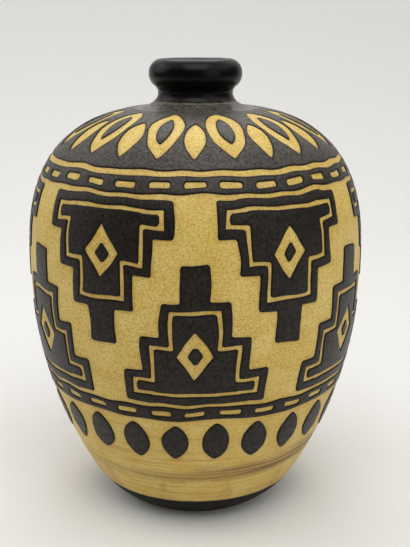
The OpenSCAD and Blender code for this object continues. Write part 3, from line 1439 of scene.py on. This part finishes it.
@dataclass
class Belt(EnamelBand):
    """Ring of enamel with dash windows along its middle."""

    dashes: int = 30
    dash_len: float = 11 * MM
    dash_h: float = 2.8 * MM
    cell: float = 0.7 * MM
    rim: float = 0.65 * MM

    def __post_init__(self) -> None:
        """Sets the copies and measures the belt up the wall."""
        super().__post_init__()
        self.copies = self.dashes
        self.turn = math.pi / self.dashes
        self.joined = True
        middle = (self.low_z + self.high_z) / 2.0
        levels = np.array([self.low_z, self.high_z, middle - self.dash_h / 2, middle + self.dash_h / 2])
        self.low_run, self.high_run, self.dash_low, self.dash_high = self.wall.run_at_level(levels)

    @property
    def sides(self) -> Pair:
        """Half a pitch to both sides of a dash."""
        return -math.pi / self.dashes, math.pi / self.dashes

    def depth(self, theta: Array, run: Array) -> Array:
        """Distance inside the outline of one copy.

        Args:
            theta: Angles from the copy's own start.
            run: Lengths up the wall.

        Returns:
            The distances, negative on bare glaze.
        """
        x = theta * self.wall.radius(run)
        y = run - (self.dash_low + self.dash_high) / 2.0
        half = (self.dash_high - self.dash_low) / 2.0
        dash = box_gap(x, y, self.dash_len / 2.0, half, half * 0.8)
        return np.minimum(np.minimum(run - self.low_run, self.high_run - run), dash)


@dataclass
class SteppedForms(EnamelBand):
    """Stepped forms that narrow away from a belt, each with a bare line and a lozenge round a core."""

    growth: Growth = Growth.UP
    repeats: int = 6
    steps: int = 4
    path_w: float = 14.5 * MM
    tip_w: float = 16 * MM
    border_w: float = 5 * MM
    inlay_w: float = 2 * MM
    lozenge_h: float = 28 * MM
    lozenge_w: float = 20 * MM
    core_gap: float = 4.6 * MM
    lozenge_step: float = 1.45
    corner: float = 1.6 * MM
    nook: float = 1.4 * MM
    cell: float = 1.0 * MM

    def __post_init__(self) -> None:
        """Sets the copies and measures the steps."""
        super().__post_init__()
        self.copies = self.repeats
        self.turn = math.pi / self.repeats if self.growth is Growth.UP else 0.0
        self.step_h = (self.high_z - self.low_z) / self.steps
        belly = self.wall.form.belly_r
        self.tip_a = self.tip_w / 2.0 / belly
        room = math.pi / self.repeats - self.path_w / belly - 2.0 * self.tip_a
        self.step_a = room / (self.steps - 2)

    @property
    def wide_z(self) -> float:
        """Height of the widest edge."""
        return self.low_z if self.growth is Growth.UP else self.high_z

    @property
    def sides(self) -> Pair:
        """Widest step with a margin."""
        half = self.tip_a + (self.steps - 1) * self.step_a + self.margin / self.wall.form.belly_r
        return -half, half

    def depth(self, theta: Array, run: Array) -> Array:
        """Distance inside the outline of one copy.

        Args:
            theta: Angles from the copy's own start.
            run: Lengths up the wall.

        Returns:
            The distances, negative on bare glaze.
        """
        r = self.wall.radius(run)
        x = theta * r
        form = np.full_like(x, -1.0)
        for k in range(self.steps):
            far = self.wide_z + self.growth.value * (k + 1) * self.step_h
            low, high = self.wall.run_at_level(np.array(sorted((self.wide_z, far))))
            half = (self.tip_a + (self.steps - 1 - k) * self.step_a) * r
            # The bare line follows the form without its last, narrowest step
            inner = form
            tier = -box_gap(x, run - (low + high) / 2.0, half, (high - low) / 2.0, self.corner)
            form = soft_max(form, tier, self.nook)
        inlay = np.abs(inner - self.border_w - self.inlay_w / 2.0) - self.inlay_w / 2.0
        middle = self.wide_z + self.growth.value * self.lozenge_step * self.step_h
        gap = lozenge_gap(r * np.sin(theta), self.wall.level(run) - middle,
                          self.lozenge_w / 2.0, self.lozenge_h / 2.0)
        enamel = np.minimum(np.minimum(form, inlay), gap)
        return np.maximum(enamel, -gap - self.core_gap)


@dataclass
class LeafDrops(EnamelBand):
    """Leaves of enamel that hang under the lower belt."""

    drops: int = 24
    drop_w: float = 15 * MM

    def __post_init__(self) -> None:
        """Sets the copies."""
        super().__post_init__()
        self.copies = self.drops
        self.turn = math.pi / self.drops

    @property
    def sides(self) -> Pair:
        """One leaf's width with a margin."""
        low_r = self.wall.radius(self.wall.run_at_level(self.low_z))
        half = (self.drop_w / 2.0 + self.margin) / low_r
        return -half, half

    def depth(self, theta: Array, run: Array) -> Array:
        """Distance inside the outline of one copy.

        Args:
            theta: Angles from the copy's own start.
            run: Lengths up the wall.

        Returns:
            The distances, negative on bare glaze.
        """
        u = self.wall.level(run) - (self.low_z + self.high_z) / 2.0
        v = self.wall.radius(run) * np.sin(theta)
        return -leaf_gap(u, v, self.high_z - self.low_z, self.drop_w)


# Turned pieces


@dataclass
class GroundCoat:
    """Yellow glaze over the wall."""

    wall: Wall
    bands: list[EnamelBand]
    finish: bpy.types.Material
    rows: int = 190
    inner_rows: int = 60
    steps: int = 360
    reach: float = 8 * MM

    def build(self) -> bpy.types.Object:
        """Turns the coat and marks its distance from the enamel.

        Returns:
            The coat.
        """
        thick = self.wall.form.glaze_t
        outer = np.linspace(0.0, self.wall.length, self.rows)
        inner = np.linspace(self.wall.length, 0.0, self.inner_rows)
        out_r, out_z = self.wall.out(inner)
        inner_r = self.wall.radius(inner) - thick * out_r
        inner_z = self.wall.level(inner) - thick * out_z
        outline = list(zip(self.wall.radius(outer), self.wall.level(outer)))
        coat = turned("ground_coat", outline + list(zip(inner_r, inner_z)), self.steps)
        points = points_of(coat.data)
        theta = np.arctan2(points[:, 1], points[:, 0])
        run = self.wall.run_at_level(points[:, 2])
        out_r, out_z = self.wall.out(run)
        out = np.stack([out_r * np.cos(theta), out_r * np.sin(theta), out_z], axis=1)
        points += out * self.wall.swell(theta, run)[:, None]
        set_points(coat.data, points)
        store(coat.data, "bare", self._bare(theta, run))
        dressed(coat, self.finish, "ground_glaze")
        return coat

    def _bare(self, theta: Array, run: Array) -> Array:
        """Distance from the enamel, from 0 at its edge to 1.

        Args:
            theta: Angles round the wall.
            run: Lengths up the wall.

        Returns:
            The graded distances.
        """
        inside = np.full_like(theta, -1.0)
        for band in self.bands:
            inside = np.maximum(inside, band.depth_round(theta, run))
        return np.clip(-inside / self.reach, 0.0, 1.0)


@dataclass
class Collar:
    """Black glaze over the neck and its rolled lip."""

    form: VaseForm
    finish: bpy.types.Material
    steps: int = 256

    def outline(self, offset: float) -> Points:
        """Collar from its root to the inside of the mouth.

        Args:
            offset: Distance outside the glazed surface.

        Returns:
            Radius and height of each point.
        """
        form = self.form
        under, cove = form.under_centre, form.cove_centre
        touch = math.degrees(math.atan2(under[1] - cove[1], under[0] - cove[0]))
        wide, high = form.root_r - form.waist_r - offset, form.flare_h - offset
        flare = arc((0.0, 0.0), 1.0, 270.0, 180.0, 30)
        points = [(form.root_r + wide * x, cove[1] + high * y) for x, y in flare]
        points += arc(cove, form.cove_r - offset, 180.0, touch, 16)[1:]
        points += arc(under, form.lip_roll + offset, touch - 180.0, 0.0, 24)[1:]
        points += arc(form.lip_centre, form.lip_roll + offset, 0.0, 90.0, 36)
        return points + arc(form.mouth_centre, form.mouth_round + offset, 90.0, 180.0, 24)[1:]

    def build(self) -> bpy.types.Object:
        """Turns the coat.

        Returns:
            The coat.
        """
        outline = self.outline(0.0) + self.outline(-self.form.glaze_t)[::-3]
        coat = turned("collar_coat", outline, self.steps)
        dressed(coat, self.finish, "collar_glaze")
        return coat


@dataclass
class Liner:
    """Glaze inside the vase, over the marks of throwing."""

    form: VaseForm
    finish: bpy.types.Material
    ring_pitch: float = 7 * MM
    ring_depth: float = 0.35 * MM
    ring_start: Pair = (40 * MM, 30 * MM)
    steps: int = 192

    def outline(self, inset: float) -> Array:
        """Inside of the vase from the mouth to the middle of the floor.

        Args:
            inset: Distance inside the clay.

        Returns:
            Rows of radius and height.
        """
        form = self.form
        offset = -form.glaze_t - form.wall_t - inset
        bore = form.bore_r + form.glaze_t - inset
        floor = form.recess_d + form.floor_t + inset
        crown = form.crown(offset, bore, 90)[::-1]
        throat = [(bore, form.mouth_centre[1]), (bore, (form.mouth_centre[1] + crown[0][1]) / 2.0)]
        flank = form.flank(offset, 60)[::-1]
        heel = form.heel(offset, floor, None, 24)[::-1]
        rest = [(r, floor) for r in np.linspace(heel[-1][0], 0.0, 40)[1:]]
        return np.array([*throat, *crown, *flank, *heel, *rest])

    def build(self) -> bpy.types.Object:
        """Turns the coat, with throwing rings.

        Returns:
            The coat.
        """
        inner = self.outline(self.form.glaze_t)
        run = np.concatenate([[0.0], np.cumsum(np.hypot(*np.diff(inner, axis=0).T))])
        slope = np.gradient(inner, run, axis=0)
        slope /= np.hypot(*slope.T)[:, None]
        wave = self.ring_depth * (0.5 - 0.5 * np.cos(TAU * run / self.ring_pitch))
        wave *= np.clip((run - self.ring_start[0]) / self.ring_start[1], 0.0, 1.0)
        inner[:, 0] = np.maximum(inner[:, 0] + slope[:, 1] * wave, 0.0)
        inner[:, 1] -= slope[:, 0] * wave
        inner[-1, 0] = 0.0
        outline = [tuple(row) for row in inner]
        outline += [tuple(row) for row in self.outline(0.0)[::-2]]
        coat = turned("liner_coat", outline, self.steps)
        dressed(coat, self.finish, "inner_glaze")
        return coat


@dataclass
class Foot:
    """Turned foot with a resting ring and a shallow recess."""

    form: VaseForm
    finish: bpy.types.Material
    edge: float = 1.2 * MM
    groove_pitch: float = 3.2 * MM
    groove_depth: float = 0.18 * MM
    floor_slope: float = 6 * MM
    steps: int = 256

    def build(self) -> bpy.types.Object:
        """Turns the foot.

        Returns:
            The foot.
        """
        form = self.form
        radii = np.linspace(0.0, form.recess_r - 2 * self.edge, 70)
        grooves = self.groove_depth * (0.5 - 0.5 * np.cos(TAU * radii / self.groove_pitch))
        outline = list(zip(radii, form.recess_d - grooves))
        outline += arc((form.recess_r - self.edge, form.recess_d - self.edge), self.edge, 90, 0, 6)
        outline += arc((form.recess_r + self.edge, self.edge), self.edge, 180, 270, 6)
        heel = form.heel(0.0, self.edge * 0.35, form.foot_h, 40)
        outline.append((heel[0][0] - self.edge, 0.0))
        outline += [tuple(row) for row in heel]
        inner_r = heel[-1][0] - form.wall_t
        floor = form.recess_d + form.floor_t
        outline += [(inner_r, form.foot_h), (inner_r - self.floor_slope, floor), (0.0, floor)]
        foot = turned("turned_foot", outline, self.steps)
        dressed(foot, self.finish, "foot")
        return foot


# Studio


@dataclass(frozen=True)
class SoftBox:
    """Square soft lamp."""

    name: str
    place: Triple
    aim: Triple
    size: float
    power: float

    def hang(self) -> None:
        """Adds the lamp, turned towards its aim."""
        data = bpy.data.lights.new(self.name, "AREA")
        data.size = self.size
        data.energy = self.power
        lamp = bpy.data.objects.new(self.name, data)
        bpy.context.collection.objects.link(lamp)
        lamp.location = self.place
        toward = Vector(self.aim) - Vector(self.place)
        lamp.rotation_euler = toward.to_track_quat("-Z", "Y").to_euler()


@dataclass
class Studio:
    """Camera, paper sweep and soft light of the photograph."""

    finish: bpy.types.Material
    distance: float = 548 * MM
    eye_z: float = 284.5 * MM
    pitch: float = 14.8
    lens: float = 60.0
    shift: float = 9.5 / 547.0
    half_width: float = 1.6
    front_y: float = -1.6
    back_y: float = 0.75
    bend: float = 0.45
    wall_z: float = 0.9
    room_level: float = 0.1
    ceiling_level: float = 0.9
    ceiling_edge: Pair = (0.4, 0.66)
    ceiling_lean: float = 0.15
    seen: Colour = (0.7, 0.7, 0.68)

    def camera(self) -> None:
        """Sets the camera at the photograph's place."""
        data = bpy.data.cameras.new("photo_camera")
        data.sensor_width = 36.0
        data.lens = self.lens
        data.shift_x = self.shift
        data.clip_start = 0.01
        camera = bpy.data.objects.new("photo_camera", data)
        bpy.context.collection.objects.link(camera)
        camera.location = (0.0, -self.distance, self.eye_z)
        camera.rotation_euler = (math.radians(90.0 - self.pitch), 0.0, 0.0)
        bpy.context.scene.camera = camera

    def sweep(self) -> None:
        """Bends a sheet of paper up behind the vase."""
        clear_selection()
        bpy.ops.mesh.primitive_plane_add(size=2.0)
        sweep = bpy.context.object
        sweep.name = "paper_sweep"
        with Bench(sweep) as bench:
            half_length = (self.back_y - self.front_y) / 2.0
            bpy.ops.transform.resize(value=(self.half_width, half_length, 1.0))
            bpy.ops.transform.translate(value=(0.0, (self.back_y + self.front_y) / 2.0, 0.0))
            back = [edge for edge in bench.mesh().edges
                    if all(abs(vert.co.y - self.back_y) < MM for vert in edge.verts)]
            bench.pick("EDGE", back)
            path = arc((self.back_y, self.bend), self.bend, 270.0, 360.0, 25) + [
                (self.back_y + self.bend, self.wall_z)]
            for (y0, z0), (y1, z1) in zip(path, path[1:]):
                move = {"value": (0.0, y1 - y0, z1 - z0)}
                bpy.ops.mesh.extrude_edges_move(TRANSFORM_OT_translate=move)
        bpy.ops.object.shade_smooth()
        sweep.data.materials.append(self.finish)

    def room(self) -> None:
        """Surrounds the vase with a dim room under a bright ceiling, pale past the paper's edge."""
        world = bpy.data.worlds.new("studio")
        bpy.context.scene.world = world
        nodes = NodeTree(world)
        toward = nodes.node("ShaderNodeTexCoord", output="Generated")
        across, upward = (nodes.node("ShaderNodeSeparateXYZ", {}, {0: toward}, axis) for axis in "YZ")
        share = nodes.ramp(upward + self.ceiling_lean * across, *self.ceiling_edge)
        light = nodes.mix(share, (self.room_level,) * 3, (self.ceiling_level,) * 3)
        camera = nodes.node("ShaderNodeLightPath", output="Is Camera Ray")
        surface = nodes.node("ShaderNodeBackground", {}, {0: nodes.mix(camera, light, self.seen)})
        nodes.node("ShaderNodeOutputWorld", {}, {"Surface": surface}, None)

    def build(self) -> None:
        """Sets up the whole studio."""
        self.camera()
        self.sweep()
        vase = (0.0, 0.0, 0.14)
        for box in (SoftBox("high_box", (0.05, -0.62, 1.28), vase, 1.0, 8.2),
                    SoftBox("back_box", (0.0, 0.7, 1.2), (0.0, -0.6, 0.5), 0.6, 2.9),
                    SoftBox("front_box", (0.8, -0.9, 0.5), vase, 0.8, 2.0),
                    SoftBox("left_box", (-1.1, 0.2, 0.75), vase, 0.9, 3.6),
                    SoftBox("right_box", (1.1, -0.2, 1.0), vase, 0.9, 1.5)):
            box.hang()
        self.room()
        bpy.context.scene.view_settings.view_transform = "Standard"


def dress_clay(finish: bpy.types.Material) -> None:
    """Gives the clay that the coats cover its finish.

    Args:
        finish: Material of the clay.
    """
    for node in ("body_wall", "neck_collar"):
        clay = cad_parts[node]
        clay.data.materials.clear()
        clay.data.materials.append(finish)


def main() -> None:
    """Builds and dresses the vase, then the studio."""
    logging.basicConfig(level=logging.INFO, format="%(name)s: %(message)s")
    form = VaseForm.from_frame()
    wall = Wall(form)
    enamel = DarkEnamel().material()
    bands: list[EnamelBand] = [
        ShoulderField(wall, enamel, "shoulder_field"),
        Belt(wall, enamel, "upper_belt"),
        SteppedForms(wall, enamel, "step_pendants", growth=Growth.DOWN),
        SteppedForms(wall, enamel, "step_risers", growth=Growth.UP),
        Belt(wall, enamel, "lower_belt"),
        LeafDrops(wall, enamel, "leaf_drops"),
    ]
    for band in bands:
        band.build()
    GroundCoat(wall, bands, YellowGlaze().material()).build()
    Collar(form, BlackGlaze().material()).build()
    Liner(form, LinerGlaze().material()).build()
    Foot(form, FootWash().material()).build()
    dress_clay(Stoneware().material())
    Studio(PaperSweep().material()).build()


if __name__ == "__main__":
    main()
